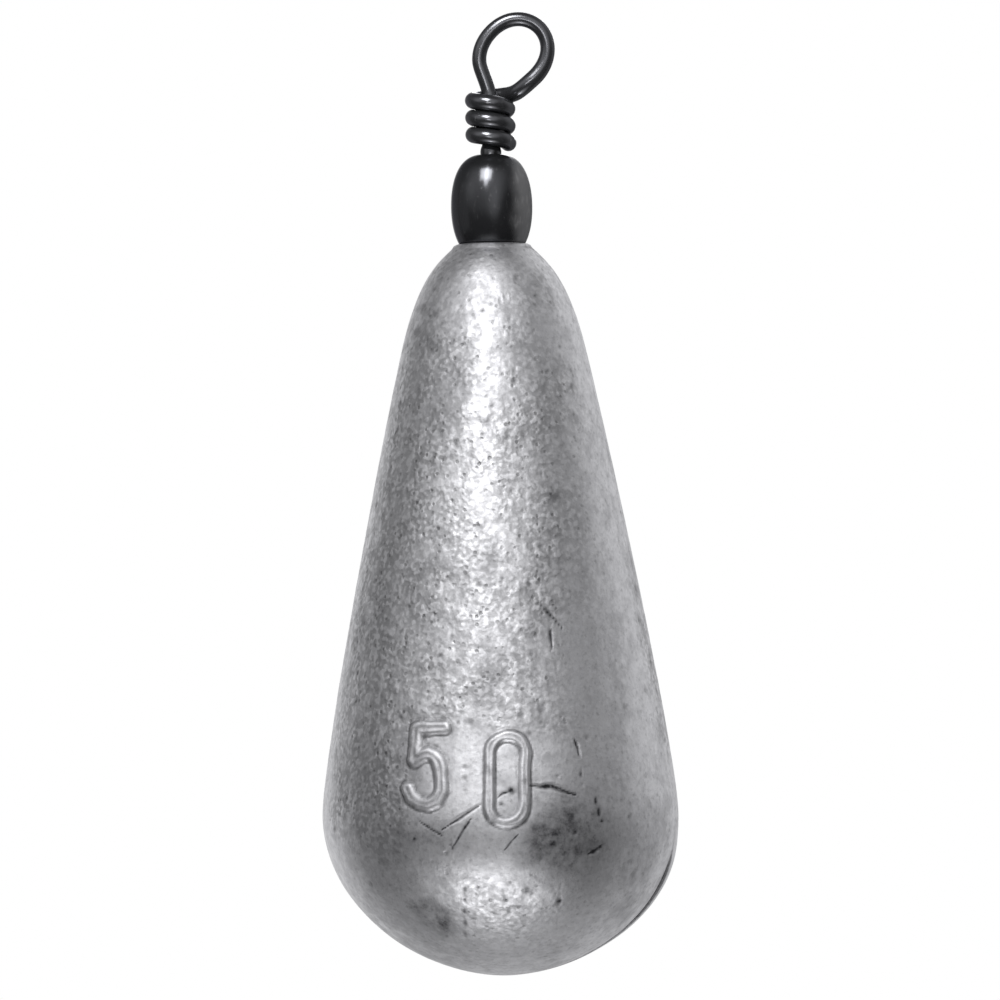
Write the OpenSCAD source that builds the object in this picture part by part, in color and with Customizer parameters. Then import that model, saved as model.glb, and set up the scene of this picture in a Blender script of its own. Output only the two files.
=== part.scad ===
// Pear-shaped casting sinker with a barrel swivel cast into its top.
// Millimetres, +Z up. The origin is the middle of the line eye's opening,
// and the swivel's axis is the upright line through x = -eye_offset, y = 0.

/* [Weight] */
// Largest diameter of the weight
weight_d = 16.84; // [14:0.02:20]
// Height of the weight, from its lowest point to the lip round the barrel
weight_h = 34.6; // [32:0.1:42]
// Height of the largest diameter above the lowest point
belly_z = 7.55; // [6:0.05:9]
// Diameter where the flank turns into the rounded shoulder
shoulder_d = 8.4; // [8:0.1:10]
// Depth of that turn below the lip
shoulder_drop = 4.4; // [3.6:0.1:5.4]
// Slope of the flank at that turn, in degrees from the axis
shoulder_slope = 14.6; // [10:0.2:18]
// Width of the flat lip round the barrel's foot
lip_w = 0.08; // [0.05:0.01:0.3]
// Turn of the two-part mould about the swivel's axis, in degrees
mould_turn = -13; // [-30:1:30]

/* [Cast marks] */
// Height of the figures that give the weight in grams
figure_h = 4.5; // [3:0.1:5]
// Width of the figure 5
five_w = 2.7; // [2:0.1:3.2]
// Width of the figure 0
nought_w = 2.16; // [1.8:0.02:2.6]
// Width of the figures' raised stroke
stroke_w = 0.56; // [0.3:0.02:0.8]
// Height of the stroke above the flank
stroke_raise = 0.16; // [0.05:0.01:0.3]
// Distance between the middles of the two figures
figure_pitch = 3.93; // [3.3:0.01:5]
// Width of the seam that the two mould halves leave
seam_w = 0.22; // [0.1:0.02:0.5]
// Height of that seam
seam_raise = 0.05; // [0.02:0.01:0.15]

/* [Swivel barrel] */
// Largest diameter of the barrel
barrel_d = 3.86; // [3.5:0.02:4.4]
// Length of the barrel over its closed-in ends
barrel_l = 5; // [4.6:0.1:5.8]
// Wall of the barrel
barrel_wall = 0.4; // [0.25:0.05:0.5]
// Depth of the barrel's foot below the weight's lip
foot_depth = 0.7; // [0.4:0.05:1]
// Running clearance between the barrel's foot and the weight, all round
foot_gap = 0.06; // [0.02:0.01:0.1]

/* [Wire eyes] */
// Diameter of the wire in the eye and its turns
wire_d = 0.68; // [0.5:0.02:0.8]
// Diameter of the headed shank that turns in the barrel
shank_d = 1; // [0.8:0.02:1.2]
// Running clearance round the shank in the barrel's hole
shank_gap = 0.06; // [0.02:0.01:0.1]
// Diameter of the head that keeps the shank in the barrel
head_d = 2.1; // [1.9:0.05:2.2]
// Thickness of the head at its rim
head_h = 0.6; // [0.4:0.05:0.8]
// Clear space between the head and the barrel's closed-in end
end_play = 0.12; // [0.05:0.01:0.3]
// Mean width of the eye's opening
eye_w = 2.56; // [2:0.02:3]
// Distance from the swivel's axis to the middle of the eye's opening
eye_offset = 1.14; // [0.8:0.02:1.3]
// Height of that middle above the top turn
eye_rise = 1.99; // [1.9:0.01:2.6]
// Clear space between neighbouring turns
turn_gap = 0.132; // [0.1:0.002:0.3]
// Clear space between the last turn and the barrel's end
neck = 0.21; // [0.1:0.01:0.5]
// Straight run of the cut end past its last turn
tail = 0.25; // [0.1:0.05:0.5]

/* [Hidden] */
$fn = 96;

// The turns run from the back of the shank to just short of its right-hand side
first_turn_angle = 90;
turns = 2.72;
turn_steps = 24;
// The eye is a bow between these two angles, with a leg at each end
bow_start = 190;
bow_end = -52;
bow_steps = 24;
leg_steps = 9;
wire_sides = 10;
// The bow leans over: it is drawn out at this angle, by this share of its radius
lean_angle = 48;
lean_share = 0.08;
// Handles of the wire's two legs, as shares of the eye's rise
left_leg_shares = [0.4, 0.26];
right_leg_shares = [0.7, 0.62];
// The cut end is rounded over in these steps, up to this angle
tail_steps = 3;
tail_angle = 80;
tail_round_share = 0.7;
// Clear space between the shank and the turns round it
wrap_gap = 0.02;

wire_r = wire_d / 2;
shank_r = shank_d / 2;
head_r = head_d / 2;
bow_r = (eye_w + wire_d) / 2;
pitch = wire_d + turn_gap;
turn_r = shank_r + wrap_gap + wire_r;

// Levels above the barrel's middle
last_turn_z = barrel_l / 2 + neck + wire_r;
first_turn_z = last_turn_z + turns * pitch;
eye_z = first_turn_z + eye_rise;

// The shank thins to the wire's size beside the top turn
taper_start_z = first_turn_z - turn_gap - wire_r / 2;
taper_end_z = first_turn_z + turn_gap + wire_r / 2;
taper_end_share = 0.94;
// The head is a cone under the barrel's end, with a chamfer at its back
head_cone_share = 0.62;
head_chamfer_share = 0.3;
cone_top_z = barrel_l / 2 - barrel_wall - end_play;
cone_foot_z = cone_top_z - (head_r - shank_r) * head_cone_share;
head_back_z = cone_foot_z - head_h;
head_chamfer = head_h * head_chamfer_share;

// The barrel's outline is a rounded box: its ends close in faster than a circle would
barrel_end_power = 2.1;
barrel_side_power = 3.2;
barrel_steps = 20;
hole_r = shank_r + shank_gap;

// The weight's lip, as a level above the barrel's middle and a radius
lip_z = foot_depth - barrel_l / 2;
lip_r = barrel_radius(lip_z, foot_gap) + lip_w;

// Handles of the weight's three curves, as shares of the sizes that they follow
base_shares = [0.43, 0.38];
flank_shares = [0.124, 0.159];
shoulder_shares = [0.795, 0.16];
// Slope of the shoulder where it meets the lip, in degrees below level
lip_slope = 50;
curve_steps = 12;
weight_r = weight_d / 2;
// One overrun serves all cuts and blanks
overrun = shank_d;

// Levels of the figures' middles, as shares of the weight's height, and the lean of the 5
five_z_share = 0.286;
nought_z_share = 0.268;
five_lean = -5;
// The 5: the reach of its top bar and the height of its bowl, as shares of its size
five_bar_share = 0.9;
five_bowl_share = 0.56;
bowl_start = -145;
bowl_end = 140;
bowl_steps = 12;

function unit(v) = v / norm(v);

function bezier(p, t) =
    pow(1 - t, 3) * p[0] + 3 * pow(1 - t, 2) * t * p[1]
    + 3 * (1 - t) * t * t * p[2] + pow(t, 3) * p[3];

// Points along a curve, without its first one
function curve(p, steps) = [for (i = [1:steps]) bezier(p, i / steps)];

// Outside radius of the barrel, grown by extra, at a level from its middle
function barrel_radius(z, extra) =
    let (level = min(1, abs(z) / (barrel_l / 2 + extra)))
    (barrel_d / 2 + extra) * pow(1 - pow(level, barrel_end_power), 1 / barrel_side_power);

function barrel_outline(extra) =
    let (half = barrel_l / 2 + extra)
    [for (i = [-barrel_steps:barrel_steps])
        let (z = half * sin(90 * i / barrel_steps)) [barrel_radius(z, extra), z]];

// Half outline of the weight from its lowest point to the axis, grown by extra.
// Its levels count from the lowest point of the plain weight.
function weight_outline(extra) =
    let (
        base = [0, -extra],
        belly = [weight_r + extra, belly_z],
        shoulder = [shoulder_d / 2 + extra, weight_h - shoulder_drop],
        lip = [lip_r + extra, weight_h],
        flank = shoulder.y - belly.y,
        up = [-sin(shoulder_slope), cos(shoulder_slope)],
        down = [cos(lip_slope), -sin(lip_slope)]
    )
    concat(
        [base],
        curve([base, [belly.x * base_shares[0], base.y], [belly.x, belly.y * base_shares[1]], belly],
              curve_steps),
        curve([belly, belly + [0, flank * flank_shares[0]],
               shoulder - up * flank * flank_shares[1], shoulder], curve_steps),
        curve([shoulder, shoulder + up * shoulder_drop * shoulder_shares[0],
               lip + down * shoulder_drop * shoulder_shares[1], lip], curve_steps),
        [[0, weight_h]]
    );

// The wire's route, in the barrel's frame: leg, bow, leg, turns and cut end
function bow_reach(a) = bow_r * (1 + lean_share * cos(2 * (a - lean_angle)));
function bow_point(a) = [eye_offset + bow_reach(a) * cos(a), 0, eye_z + bow_reach(a) * sin(a)];
function bow_heading(a) =
    let (growth = -2 * lean_share * bow_r * sin(2 * (a - lean_angle)))
    unit([bow_reach(a) * sin(a) - growth * cos(a), 0, -bow_reach(a) * cos(a) - growth * sin(a)]);
function turn_point(a) =
    [turn_r * cos(a), turn_r * sin(a), first_turn_z - pitch * (a - first_turn_angle) / 360];
function turn_heading(a) = unit([-turn_r * sin(a), turn_r * cos(a), -pitch / (2 * PI)]);

last_turn_angle = first_turn_angle + 360 * turns;
leg_foot = [0, 0, taper_start_z];
left_leg = [leg_foot, leg_foot + [0, 0, eye_rise * left_leg_shares[0]],
            bow_point(bow_start) - bow_heading(bow_start) * eye_rise * left_leg_shares[1],
            bow_point(bow_start)];
right_leg = [bow_point(bow_end),
             bow_point(bow_end) + bow_heading(bow_end) * eye_rise * right_leg_shares[0],
             turn_point(first_turn_angle)
                 - turn_heading(first_turn_angle) * eye_rise * right_leg_shares[1],
             turn_point(first_turn_angle)];
tail_foot = turn_point(last_turn_angle);
tail_heading = turn_heading(last_turn_angle);
route = concat(
    [leg_foot],
    curve(left_leg, leg_steps),
    [for (i = [1:bow_steps]) bow_point(bow_start + (bow_end - bow_start) * i / bow_steps)],
    curve(right_leg, leg_steps),
    [for (i = [1:round(turns * turn_steps)]) turn_point(first_turn_angle + 360 * i / turn_steps)],
    [tail_foot + tail_heading * tail]
);
route_end = len(route) - 1;

// Rings beyond the route's end round the cut off: how far on, and how wide
cut_angles = [for (i = [1:tail_steps]) tail_angle * i / tail_steps];
centres = concat(route, [for (a = cut_angles)
    route[route_end] + tail_heading * wire_r * tail_round_share * sin(a)]);
widths = concat([for (p = route) wire_r], [for (a = cut_angles) wire_r * cos(a)]);
last_ring = len(centres) - 1;
headings = [for (i = [0:last_ring]) unit(centres[min(i + 1, last_ring)] - centres[max(i - 1, 0)])];

function turned(n, heading) = unit(n - (n * heading) * heading);
normals = [for (i = 0, n = [0, 1, 0]; i <= last_ring;
                n = turned(n, headings[min(i + 1, last_ring)]), i = i + 1) n];

wire_points = [for (i = [0:last_ring], j = [0:wire_sides - 1])
    let (a = 360 * j / wire_sides)
    centres[i] + widths[i] * (cos(a) * normals[i] + sin(a) * cross(headings[i], normals[i]))];
wire_faces = concat(
    [[for (j = [0:wire_sides - 1]) j]],
    [for (i = [0:last_ring - 1], j = [0:wire_sides - 1], half = [0, 1])
        let (
            k = (j + 1) % wire_sides,
            low = i * wire_sides,
            high = low + wire_sides
        )
        half == 0 ? [low + j, high + j, high + k] : [low + j, high + k, low + k]],
    [[for (j = [wire_sides - 1:-1:0]) last_ring * wire_sides + j]]
);

// Least clear space between stretches of the wire that aren't neighbours along it
apart = turn_steps / 2;
least_gap = min([for (i = [0:route_end - apart], j = [i + apart:route_end])
    norm(route[i] - route[j])]) - wire_d;
echo(str("Least gap of the wire to itself: ", least_gap, " mm"));

// Puts a piece that is drawn round the barrel's middle into the part's frame
module placed() {
    translate([-eye_offset, 0, -eye_z]) children();
}

// Head and shank are turned; the eye and its turns are one bent wire
module headed_wire() {
    rotate_extrude() polygon([
        [0, head_back_z], [head_r - head_chamfer, head_back_z], [head_r, head_back_z + head_chamfer],
        [head_r, cone_foot_z], [shank_r, cone_top_z], [shank_r, taper_start_z],
        [wire_r * taper_end_share, taper_end_z], [0, taper_end_z]
    ]);
    polyhedron(points = wire_points, faces = wire_faces);
}

module anchor_wire() {
    rotate([0, 0, mould_turn]) rotate([180, 0, 0]) headed_wire();
}

module line_eye() {
    color([0.07, 0.07, 0.08]) placed() headed_wire();
}

module anchor_eye() {
    color([0.16, 0.16, 0.17]) placed() anchor_wire();
}

// Hollow shell with a hole in each closed-in end
module swivel_barrel() {
    color([0.05, 0.05, 0.06]) placed() difference() {
        rotate_extrude() polygon(barrel_outline(0));
        rotate_extrude() polygon(barrel_outline(-barrel_wall));
        cylinder(r = hole_r, h = barrel_l + 2 * overrun, center = true);
    }
}

// A straight stroke with square ends
module stroke(from, to) {
    run = to - from;
    translate(from) rotate(atan2(run.y, run.x)) translate([0, -stroke_w / 2]) square([norm(run), stroke_w]);
}

// A curved stroke round the origin, along a circle of the given radius
module curved_stroke(radius, start, end) {
    reach = 2 * radius + overrun;
    intersection() {
        difference() {
            circle(r = radius + stroke_w / 2);
            circle(r = radius - stroke_w / 2);
        }
        polygon(concat([[0, 0]], [for (i = [0:bowl_steps])
            let (a = start + (end - start) * i / bowl_steps) reach * [cos(a), sin(a)]]));
    }
}

// Stands flat strokes up on the weight's front, cut off at their height above the flank
module on_flank(middle, lean) {
    intersection() {
        rotate_extrude() polygon(weight_outline(stroke_raise));
        rotate([90, 0, 0]) linear_extrude(height = weight_d) translate(middle) rotate(lean) children();
    }
}

module five(middle) {
    bowl_r = (figure_h * five_bowl_share - stroke_w) / 2;
    bowl = [(five_w - stroke_w) / 2 - bowl_r, bowl_r - (figure_h - stroke_w) / 2];
    corner = [-(five_w - stroke_w) / 2, (figure_h - stroke_w) / 2];
    on_flank(middle, five_lean) {
        stroke(corner - [stroke_w / 2, 0], [five_w * (five_bar_share - 0.5), corner.y]);
        stroke(corner, bowl + bowl_r * [cos(bowl_end), sin(bowl_end)]);
        translate(bowl) curved_stroke(bowl_r, bowl_start, bowl_end);
    }
}

module nought(middle) {
    side = (nought_w - stroke_w) / 2;
    rise = (figure_h - nought_w) / 2;
    on_flank(middle, 0) {
        for (x = [-side, side]) stroke([x, -rise], [x, rise]);
        translate([0, rise]) curved_stroke(side, 0, 180);
        translate([0, -rise]) curved_stroke(side, -180, 0);
    }
}

// Two mould halves meet in the plane of the anchor's eye; the figures are cut into the front one
module casting() {
    rotate_extrude() polygon(weight_outline(0));
    intersection() {
        rotate_extrude() polygon(weight_outline(seam_raise));
        translate([0, 0, weight_h / 2]) cube([weight_d + overrun, seam_w, weight_h + overrun], center = true);
    }
    five([-figure_pitch / 2, weight_h * five_z_share]);
    nought([figure_pitch / 2, weight_h * nought_z_share]);
}

// The weight is poured round the anchor's shank and turns, and clears the barrel's foot
module lead_weight() {
    color([0.62, 0.62, 0.63]) placed() difference() {
        translate([0, 0, lip_z - weight_h]) rotate([0, 0, mould_turn]) casting();
        rotate_extrude() polygon(barrel_outline(foot_gap));
        anchor_wire();
    }
}

line_eye();
swivel_barrel();
anchor_eye();
lead_weight();
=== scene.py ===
"""Dresses the packed fishing sinker: cast lead weight, black barrel swivel and wrapped line eye.

The file is laid out as an add-on and run as a script. Lengths are in metres,
in the frame of the packed part: +Z up, -Y to the front, origin in the middle
of the line eye's opening. The swivel's axis is upright.
"""

import math

import bpy
import numpy as np
from bpy.props import FloatProperty, FloatVectorProperty, IntProperty, PointerProperty
from mathutils import Euler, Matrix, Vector


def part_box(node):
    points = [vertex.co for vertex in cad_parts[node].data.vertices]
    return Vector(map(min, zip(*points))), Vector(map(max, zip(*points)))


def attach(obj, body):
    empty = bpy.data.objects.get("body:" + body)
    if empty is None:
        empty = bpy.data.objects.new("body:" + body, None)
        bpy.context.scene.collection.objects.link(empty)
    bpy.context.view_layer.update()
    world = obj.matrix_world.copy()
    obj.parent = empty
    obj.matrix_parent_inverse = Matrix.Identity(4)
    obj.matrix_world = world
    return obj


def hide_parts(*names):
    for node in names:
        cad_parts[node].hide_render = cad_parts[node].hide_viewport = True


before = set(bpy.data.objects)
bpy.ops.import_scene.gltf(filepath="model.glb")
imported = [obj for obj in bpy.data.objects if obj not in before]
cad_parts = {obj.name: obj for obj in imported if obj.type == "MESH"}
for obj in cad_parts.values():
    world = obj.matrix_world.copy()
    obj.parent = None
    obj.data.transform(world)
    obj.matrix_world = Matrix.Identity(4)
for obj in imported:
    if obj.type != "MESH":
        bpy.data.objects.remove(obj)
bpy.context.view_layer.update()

bl_info = {
    "name": "Casting sinker",
    "version": (1, 0, 0),
    "blender": (4, 5, 0),
    "location": "3D View > Sidebar > Sinker",
    "description": "Builds a cast lead sinker with its barrel swivel around the packed part",
    "category": "Object",
}

MM = 0.001
BARREL_LOW, BARREL_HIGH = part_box("swivel_barrel")
LEAD_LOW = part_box("lead_weight")[0]
# Where the swivel's upright axis stands, and the level of the barrel's middle
AXIS_X = (BARREL_LOW.x + BARREL_HIGH.x) / 2
MIDDLE_Z = (BARREL_LOW.z + BARREL_HIGH.z) / 2


def size(name, default, about):
    """A length that a user may change, in metres."""
    return FloatProperty(name=name, description=about, default=default, unit="LENGTH", precision=5)


def share(name, default, about):
    return FloatProperty(name=name, description=about, default=default, min=0, max=1, subtype="FACTOR")


def tint(name, default, about):
    return FloatVectorProperty(name=name, description=about, default=default, size=3, min=0, max=1,
                               subtype="COLOR")


def angle(name, degrees, about):
    return FloatProperty(name=name, description=about, default=math.radians(degrees),
                         subtype="ANGLE", unit="ROTATION")


def power(name, watts, lit):
    return FloatProperty(name=name, description="Power in watts, for " + lit, default=watts, min=0,
                         unit="POWER")


# Sizes and colours that a user may change

class SinkerWeight(bpy.types.PropertyGroup):
    """The cast weight's shape and its cast marks."""
    height: size("Height", 34.6 * MM, "From the lowest point to the lip round the barrel")
    radius: size("Radius", 8.42 * MM, "Largest radius")
    belly: size("Belly height", 7.55 * MM, "Height of the largest radius")
    shoulder_radius: size("Shoulder radius", 4.2 * MM, "Radius where the flank turns in")
    shoulder_drop: size("Shoulder drop", 4.4 * MM, "Depth of that turn below the lip")
    shoulder_slope: angle("Shoulder slope", 14.6, "Slope of the flank at that turn")
    lip: size("Lip", 0.08 * MM, "Width of the lip round the barrel's foot")
    lip_bead: size("Lip bead", 0.05 * MM, "Height of the raised edge round the barrel's foot")
    mould_turn: angle("Mould turn", -13, "Turn of the two-part mould about the axis")
    fine_step: size("Fine step", 0.075 * MM, "Mesh spacing at the figures and the seam")
    coarse_step: size("Coarse step", 0.15 * MM, "Mesh spacing elsewhere")
    stroke: size("Stroke", 0.37 * MM, "Half width of the figures' raised stroke")
    stroke_raise: size("Stroke height", 0.17 * MM, "Height of the stroke above the flank")
    stroke_groove: size("Stroke groove", 0.055 * MM, "Depth of the groove along the stroke")
    seam_width: size("Seam width", 0.07 * MM, "Half width of the seam that the mould leaves")
    seam_raise: size("Seam height", 0.03 * MM, "Height of that seam")
    seam_step: size("Seam step", 0.15 * MM, "Offset between the two mould halves at the base")
    base_shift: size("Base shift", 0.14 * MM, "Sideways offset of the base")
    unevenness: size("Unevenness", 0.03 * MM, "Waviness of the cast skin")
    pit_depth: size("Pit depth", 0.035 * MM, "Depth of the pits in the cast skin")
    seed: IntProperty(name="Seed", description="Start of the random pits", default=7, min=0)


class SinkerLead(bpy.types.PropertyGroup):
    """Finish of the lead."""
    bright: tint("Bright lead", (0.79, 0.79, 0.818), "Where the skin is clean")
    dull: tint("Dull lead", (0.44, 0.44, 0.457), "Where it has dulled")
    # This colour is also used for painted shade at the figures' feet, along the seams and below the lip
    # bead
    stain: tint("Stain", (0.05, 0.05, 0.055), "In cracks, pits and stains")
    roughness: share("Roughness", 0.48, "Of the clean skin")
    dull_roughness: share("Dull roughness", 0.6, "Of the dulled skin")
    grain: size("Grain", 0.23 * MM, "Width of one grain of the sandy skin")
    grain_depth: size("Grain depth", 0.035 * MM, "Height of the sandy skin")


class SinkerSwivel(bpy.types.PropertyGroup):
    """The barrel and the two headed wires."""
    barrel_radius: size("Barrel radius", 1.93 * MM, "Largest radius of the barrel")
    barrel_length: size("Barrel length", 5 * MM, "Over its closed-in ends")
    barrel_wall: size("Barrel wall", 0.4 * MM, "Wall of the barrel")
    foot_depth: size("Foot depth", 0.7 * MM, "Depth of the barrel's foot below the lead's lip")
    foot_gap: size("Foot gap", 0.06 * MM, "Clearance between the barrel's foot and the lead")
    hole: size("Hole", 0.56 * MM, "Radius of the barrel's holes")
    wire: size("Wire", 0.34 * MM, "Radius of the wire in the eye")
    turn_wire: size("Wire in the turns", 0.39 * MM, "Radius of the wire where it is wound tight")
    shank: size("Shank", 0.5 * MM, "Radius of the headed shank")
    head: size("Head", 1.05 * MM, "Radius of the head in the barrel")
    head_height: size("Head height", 0.6 * MM, "Thickness of the head at its rim")
    end_play: size("End play", 0.12 * MM, "Clear space between the head and the barrel's end")
    bow: size("Bow", 1.62 * MM, "Radius of the eye's bow along the wire's middle")
    eye_rise: size("Eye rise", 1.99 * MM, "Height of the eye's middle above the top turn")
    pitch: size("Pitch", 0.812 * MM, "Distance from turn to turn")
    neck: size("Neck", 0.21 * MM, "Clear space between the last turn and the barrel")
    turns: FloatProperty(name="Turns", description="Turns of the wire round the shank", default=2.72,
                         min=1, max=5)


class SinkerPlating(bpy.types.PropertyGroup):
    """Black nickel on the swivel."""
    black: tint("Black barrel", (0.05, 0.051, 0.055), "Colour of the barrel's plating")
    black_wire: tint("Black wire", (0.08, 0.081, 0.087), "Colour of the wires' plating")
    # The worn tint is also the colour of the painted sheen on the barrel's right side
    worn: tint("Worn plating", (0.28, 0.28, 0.285), "Where handling has thinned it")
    edge: tint("Edge tint", (0.35, 0.35, 0.36), "Share of light mirrored where it is seen at a slant")
    mirror: share("Mirror share", 0.86, "Share of the plating that mirrors as metal")
    wire_roughness: share("Wire roughness", 0.2, "Of the wire")
    barrel_roughness: share("Barrel roughness", 0.18, "Of the barrel")


class SinkerStudio(bpy.types.PropertyGroup):
    """Camera, floor and light."""
    distance: size("Camera distance", 0.3, "From the camera to the part")
    frame_width: size("Frame width", 47.38 * MM, "What the picture's width takes in at the part")
    tilt: angle("Tilt", -1.5, "Height of the camera above the horizon")
    roll: angle("Roll", 0.85, "Lean of the part in the picture")
    aim_x: size("Aim x", -0.95 * MM, "Point in the picture's middle")
    aim_z: size("Aim z", -21.17 * MM, "Point in the picture's middle")
    floor_drop: size("Floor drop", 0.45, "Depth of the floor below the part")
    floor_radius: size("Floor radius", 1.6, "Radius of the round floor")
    floor: tint("Floor", (0.86, 0.86, 0.86), "Colour of the floor")
    key: power("Key light", 1.1, "all pieces")
    front: power("Front light", 0.32, "the wires alone")
    side: power("Side light", 0.05, "the barrel alone")
    under: power("Under light", 0.14, "all pieces")
    gleam: power("Swivel light", 2.4, "the black pieces alone")
    back: power("Back light", 0.6, "the black pieces alone")


PROPERTY_GROUPS = {
    "sinker_weight": SinkerWeight,
    "sinker_lead": SinkerLead,
    "sinker_swivel": SinkerSwivel,
    "sinker_plating": SinkerPlating,
    "sinker_studio": SinkerStudio,
}


# Shader maths

class Channel:
    """A node's output that takes part in Python expressions on numbers."""

    def __init__(self, finish, socket):
        self.finish = finish
        self.socket = socket

    def maths(self, operation, *values):
        return self.finish.node("ShaderNodeMath", {"operation": operation}, dict(enumerate(values)))

    def __add__(self, other):
        return self.maths("ADD", self, other)

    __radd__ = __add__

    def __mul__(self, other):
        return self.maths("MULTIPLY", self, other)

    __rmul__ = __mul__

    def __sub__(self, other):
        return self.maths("SUBTRACT", self, other)

    def __rsub__(self, other):
        return self.maths("SUBTRACT", other, self)

    def between(self, low, high):
        """0 at low, 1 at high, with a smooth run between them."""
        settings = {"interpolation_type": "SMOOTHSTEP", "clamp": True}
        sockets = {"Value": self, "From Min": low, "From Max": high, "To Min": 0.0, "To Max": 1.0}
        return self.finish.node("ShaderNodeMapRange", settings, sockets)


class Finish:
    """A node tree that grows through one method."""

    def __init__(self, tree):
        self.tree = tree
        self.tree.nodes.clear()

    def node(self, kind, settings=None, sockets=None, out=0):
        """Adds a node: its settings first, then the values or links of its sockets."""
        made = self.tree.nodes.new(kind)
        for name, value in (settings or {}).items():
            setattr(made, name, value)
        for name, value in (sockets or {}).items():
            if isinstance(value, Channel):
                self.tree.links.new(value.socket, made.inputs[name])
            else:
                made.inputs[name].default_value = value
        return Channel(self, made.outputs[out] if made.outputs else None)

    def vector(self, operation, sockets, out="Vector"):
        return self.node("ShaderNodeVectorMath", {"operation": operation}, sockets, out)

    def mix(self, amount, first, second):
        """Colour that goes from first to second as amount goes from 0 to 1."""
        # A Mix node's two colours are its sockets 6 and 7, and the mixed colour is its output 2
        ends = [c if isinstance(c, Channel) else (*c, 1.0) for c in (first, second)]
        settings = {"data_type": "RGBA", "clamp_factor": True}
        return self.node("ShaderNodeMix", settings, {0: amount, 6: ends[0], 7: ends[1]}, out=2)

    def place(self, stretch=(1, 1, 1)):
        """Place on the piece in millimetres, stretched along each axis."""
        point = self.node("ShaderNodeTexCoord", out="Object")
        return self.vector("MULTIPLY", {0: point, 1: tuple(s / MM for s in stretch)})

    def cloud(self, point, scale, detail, rough):
        sockets = {"Vector": point, "Scale": scale, "Detail": detail, "Roughness": rough}
        return self.node("ShaderNodeTexNoise", None, sockets)

    def cells(self, point, scale, feature="F1", out="Distance"):
        """Distance from the middle of a random cell, or with out="Color" that cell's own level."""
        sockets = {"Vector": point, "Scale": scale}
        return self.node("ShaderNodeTexVoronoi", {"feature": feature}, sockets, out)

    def wander(self, point, scale, reach):
        """The same place, moved about by noise."""
        noise = self.node("ShaderNodeTexNoise", None, {"Vector": point, "Scale": scale}, out="Color")
        centred = self.vector("SUBTRACT", {0: noise, 1: (0.5, 0.5, 0.5)})
        moved = self.vector("SCALE", {0: centred, "Scale": reach})
        return self.vector("ADD", {0: point, 1: moved})

    def bump(self, height, strength, distance):
        sockets = {"Strength": strength, "Distance": distance, "Height": height}
        return self.node("ShaderNodeBump", None, sockets)

    def mark(self, name):
        """A number that the mesh carries at each point."""
        return self.node("ShaderNodeAttribute", {"attribute_name": name}, out="Fac")

    def close(self, sockets):
        """Ends a material's tree in its surface."""
        shader = self.node("ShaderNodeBsdfPrincipled", None, sockets)
        self.node("ShaderNodeOutputMaterial", None, {"Surface": shader})


def new_material(name):
    material = bpy.data.materials.new(name)
    material.use_nodes = True
    return material, Finish(material.node_tree)


# Helpers for meshes

def smooth(low, high, x):
    """0 at low, 1 at high, with a smooth run between them."""
    t = np.clip((x - low) / (high - low), 0, 1)
    return t * t * (3 - 2 * t)


def bell(x, width=1.0):
    """1 where x is 0, and 0.37 at width on either side."""
    return np.exp(-(x / width) ** 2)


def curve(points, steps):
    """Cubic curve through four handles, without its first point."""
    p = np.array(points, float)
    t = (np.arange(1, steps + 1) / steps)[:, None]
    return ((1 - t) ** 3 * p[0] + 3 * (1 - t) ** 2 * t * p[1]
            + 3 * (1 - t) * t * t * p[2] + t ** 3 * p[3])


def unit(v):
    return v / np.linalg.norm(v)


def value_noise(points, width, seed):
    """Smooth lumps about width across, from -1 to 1."""
    count = 32
    table = np.random.default_rng(seed).uniform(-1, 1, (count, count, count))
    p = points / width
    cell = np.floor(p).astype(int)
    f = p - cell
    f = f * f * (3 - 2 * f)
    total = np.zeros(len(points))
    for corner in np.ndindex(2, 2, 2):
        share_here = np.prod(np.where(corner, f, 1 - f), axis=1)
        i, j, k = ((cell + corner) % count).T
        total += share_here * table[i, j, k]
    return total


def spaced(low, high, spacing):
    """Values from low to high whose steps follow spacing(value)."""
    probe = np.linspace(low, high, 4000)
    count = np.concatenate([[0], np.cumsum((probe[1] - probe[0]) / spacing(probe[1:]))])
    steps = int(math.ceil(count[-1]))
    return np.interp(np.linspace(0, count[-1], steps + 1), count, probe)


def link_mesh(name, points, faces):
    mesh = bpy.data.meshes.new(name)
    mesh.from_pydata([tuple(p) for p in points], [], faces)
    mesh.validate()
    made = bpy.data.objects.new(name, mesh)
    bpy.context.scene.collection.objects.link(made)
    return made


def mesh_piece(name, points, faces, body, node):
    """A smooth piece that rides on a body and stands for a node."""
    piece = link_mesh(name, points, faces)
    piece.data.polygons.foreach_set("use_smooth", [True] * len(piece.data.polygons))
    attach(piece, body)
    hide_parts(node)
    return piece


def ring_faces(rings, sides):
    """Quads between neighbouring rings of points."""
    i = np.arange(rings - 1)[:, None] * sides
    j = np.arange(sides)[None, :]
    k = (j + 1) % sides
    quads = np.stack([i + j, i + k, i + sides + k, i + sides + j], axis=-1)
    return quads.reshape(-1, 4).tolist()


def fan(middle, first, sides, turned_over=False):
    """Triangles from a middle point to the ring whose points start at first."""
    edges = [(first + j, first + (j + 1) % sides) for j in range(sides)]
    return [[middle, b, a] if turned_over else [middle, a, b] for a, b in edges]


# Outlines

def barrel_radius(z, grow):
    """Outside radius of the barrel at a level from its middle, grown all round by grow."""
    s = bpy.context.scene.sinker_swivel
    # Fuller at the shoulders than an ellipse, whose two powers would both be 2
    level = np.minimum(1, np.abs(z) / (s.barrel_length / 2 + grow))
    return (s.barrel_radius + grow) * (1 - level ** 2.1) ** (1 / 3.2)


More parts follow.
